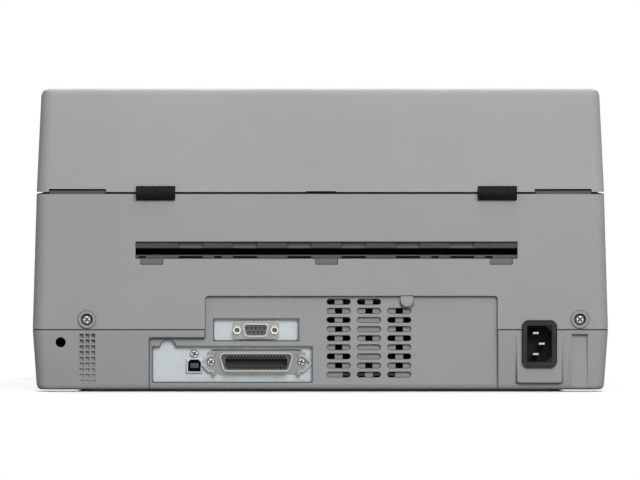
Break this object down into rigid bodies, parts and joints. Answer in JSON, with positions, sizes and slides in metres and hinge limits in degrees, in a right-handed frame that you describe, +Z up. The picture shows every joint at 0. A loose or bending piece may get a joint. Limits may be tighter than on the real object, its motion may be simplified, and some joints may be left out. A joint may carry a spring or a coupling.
{
  "type": "dot matrix printer",
  "caption": "Flatbed dot matrix printer seen from the rear: grey case, hinged cover, paper slot, port windows, vents, power inlet, with a working paper feed and carriage.",
  "frame": {"origin": "middle of the footprint, on the surface it stands on", "axes": "+X along the width, to the left of the rear view; +Y to the rear with the ports; +Z up"},
  "size_m": [0.384, 0.28, 0.202],
  "materials": {
    "lower_grey": "satin",
    "upper_grey": "satin",
    "cover_grey": "satin",
    "table_grey": "satin",
    "black_steel": "satin",
    "foot_rubber": "matt",
    "screw_steel": "bright",
    "hinge_black": "satin",
    "pin_steel": "bright",
    "shield_zinc": "galvanised",
    "port_shell": "nickel plated",
    "port_insert": "matt",
    "usb_black": "satin",
    "inlet_black": "satin",
    "contact_nickel": "nickel plated",
    "chassis_zinc": "galvanised",
    "platen_steel": "ground",
    "roller_rubber": "matt",
    "pinch_plastic": "satin",
    "gear_plastic": "satin",
    "motor_black": "satin",
    "guide_plastic": "satin",
    "guide_dark": "satin",
    "gate_black": "matt",
    "shaft_steel": "ground",
    "carriage_plastic": "matt",
    "bush_bronze": "sintered",
    "head_alloy": "black anodised",
    "cartridge_plastic": "satin",
    "ribbon_cloth": "inked",
    "knob_blue": "satin",
    "pulley_alloy": "satin",
    "belt_rubber": "matt",
    "board_green": "solder mask",
    "chip_black": "matt",
    "panel_grey": "satin",
    "button_grey": "satin",
    "switch_black": "satin"
  },
  "bodies": {
    "frame": {"lower_case": "lower_grey", "upper_case": "upper_grey", "front_table": "table_grey", "base_plate": "black_steel", "rubber_feet": "foot_rubber", "screws": "screw_steel", "hinge_base": "hinge_black", "hinge_pins": "pin_steel", "shield_plate": "shield_zinc", "serial_shell": "port_shell", "serial_insert": "port_insert", "serial_standoffs": "screw_steel", "usb_port": "usb_black", "parallel_shell": "port_shell", "parallel_insert": "port_insert", "inlet_frame": "inlet_black", "inlet_pins": "contact_nickel", "chassis_tray": "chassis_zinc", "side_plate_left": "chassis_zinc", "side_plate_right": "chassis_zinc", "cross_beams": "chassis_zinc", "platen": "platen_steel", "feed_motor": "motor_black", "guide_lower": "guide_plastic", "guide_upper": "guide_dark", "carriage_shaft": "shaft_steel", "carriage_rail": "chassis_zinc", "ribbon_cartridge": "cartridge_plastic", "ribbon_strip": "ribbon_cloth", "carriage_motor": "motor_black", "timing_belt": "belt_rubber", "belt_brackets": "chassis_zinc", "main_board": "board_green", "board_parts": "chip_black", "power_supply": "chassis_zinc", "control_panel": "panel_grey", "power_switch": "switch_black"},
    "cover": {"top_cover": "cover_grey", "hinge_leaf": "hinge_black"},
    "carriage_unit": {"carriage": "carriage_plastic", "carriage_bushes": "bush_bronze", "print_head": "head_alloy"},
    "drive_pulley": {"motor_pulley": "pulley_alloy"},
    "tail_pulley": {"idler_pulley": "gear_plastic"},
    "front_roller": {"feed_roller_front": "roller_rubber", "feed_gear_front": "gear_plastic"},
    "rear_roller": {"feed_roller_rear": "roller_rubber", "feed_gear_rear": "gear_plastic"},
    "idler": {"idler_gear": "gear_plastic"},
    "pinion": {"pinion_gear": "gear_plastic"},
    "front_pinch": {"pinch_roller_front": "pinch_plastic"},
    "rear_pinch": {"pinch_roller_rear": "pinch_plastic"},
    "knob": {"ribbon_knob": "knob_blue"},
    "gate": {"paper_gate": "gate_black"},
    "feed_button": {"button_feed": "button_grey"},
    "tear_button": {"button_tear": "button_grey"},
    "online_button": {"button_online": "button_grey"},
    "rocker": {"power_rocker": "switch_black"},
    "left_bail": {"bail_left": "pin_steel"},
    "right_bail": {"bail_right": "pin_steel"}
  },
  "joints": [
    {"name": "cover_hinge", "type": "hinge", "parent": "frame", "child": "cover", "pos_m": [0, 0.1354, 0.1323], "axis": [-1, 0, 0], "range_deg": [0, 80]},
    {"name": "carriage_slide", "type": "slide", "parent": "frame", "child": "carriage_unit", "axis": [1, 0, 0], "range_m": [-0.12, 0.12]},
    {"name": "drive_pulley_spin", "type": "hinge", "parent": "frame", "child": "drive_pulley", "pos_m": [0.13, 0.064, 0.121], "axis": [0, 1, 0], "range_deg": [-1100, 1100]},
    {"name": "tail_pulley_spin", "type": "hinge", "parent": "frame", "child": "tail_pulley", "pos_m": [-0.138, 0.064, 0.121], "axis": [0, 1, 0], "range_deg": [-1100, 1100]},
    {"name": "feed_front_spin", "type": "hinge", "parent": "frame", "child": "front_roller", "pos_m": [0, -0.04, 0.084], "axis": [1, 0, 0], "continuous": true},
    {"name": "feed_rear_spin", "type": "hinge", "parent": "frame", "child": "rear_roller", "pos_m": [0, 0.05, 0.084], "axis": [1, 0, 0], "continuous": true},
    {"name": "idler_spin", "type": "hinge", "parent": "frame", "child": "idler", "pos_m": [0.1605, 0.005, 0.084], "axis": [1, 0, 0], "continuous": true},
    {"name": "pinion_spin", "type": "hinge", "parent": "frame", "child": "pinion", "pos_m": [0.1605, 0.0205, 0.05715], "axis": [1, 0, 0], "continuous": true},
    {"name": "pinch_front_spin", "type": "hinge", "parent": "frame", "child": "front_pinch", "pos_m": [0, -0.04, 0.0993], "axis": [1, 0, 0], "continuous": true},
    {"name": "pinch_rear_spin", "type": "hinge", "parent": "frame", "child": "rear_pinch", "pos_m": [0, 0.05, 0.0993], "axis": [1, 0, 0], "continuous": true},
    {"name": "ribbon_knob_spin", "type": "hinge", "parent": "frame", "child": "knob", "pos_m": [0.104, -0.06775, 0.12], "axis": [0, 0, 1], "continuous": true},
    {"name": "feed_press", "type": "slide", "parent": "frame", "child": "feed_button", "axis": [0, 1, 0], "range_m": [0, 0.0012], "stiffness_N_per_m": 400, "springref_m": -0.0005},
    {"name": "tear_press", "type": "slide", "parent": "frame", "child": "tear_button", "axis": [0, 1, 0], "range_m": [0, 0.0012], "stiffness_N_per_m": 400, "springref_m": -0.0005},
    {"name": "online_press", "type": "slide", "parent": "frame", "child": "online_button", "axis": [0, 1, 0], "range_m": [0, 0.0012], "stiffness_N_per_m": 400, "springref_m": -0.0005},
    {"name": "gate_drop", "type": "slide", "parent": "frame", "child": "gate", "axis": [0, 0, -1], "range_m": [0, 0.0062], "stiffness_N_per_m": 400, "springref_m": -0.003},
    {"name": "rocker_tilt", "type": "hinge", "parent": "frame", "child": "rocker", "pos_m": [-0.16, -0.1338, 0.056], "axis": [-1, 0, 0], "range_deg": [0, 16]},
    {"name": "bail_left_swing", "type": "hinge", "parent": "frame", "child": "left_bail", "pos_m": [0.0709, 0.134, 0.0191], "axis": [0, 0, 1], "range_deg": [0, 85]},
    {"name": "bail_right_swing", "type": "hinge", "parent": "frame", "child": "right_bail", "pos_m": [0.0145, 0.134, 0.0191], "axis": [0, 0, -1], "range_deg": [0, 85]}
  ],
  "couplings": [
    {"joint": "drive_pulley_spin", "follows": "carriage_slide", "rad_per_m": -156.99},
    {"joint": "tail_pulley_spin", "follows": "carriage_slide", "rad_per_m": -156.99},
    {"joint": "feed_rear_spin", "follows": "feed_front_spin", "ratio": 1},
    {"joint": "idler_spin", "follows": "feed_front_spin", "ratio": -0.8},
    {"joint": "pinion_spin", "follows": "feed_front_spin", "ratio": 3.3333},
    {"joint": "pinch_front_spin", "follows": "feed_front_spin", "ratio": -1.5},
    {"joint": "pinch_rear_spin", "follows": "feed_front_spin", "ratio": -1.5}
  ]
}
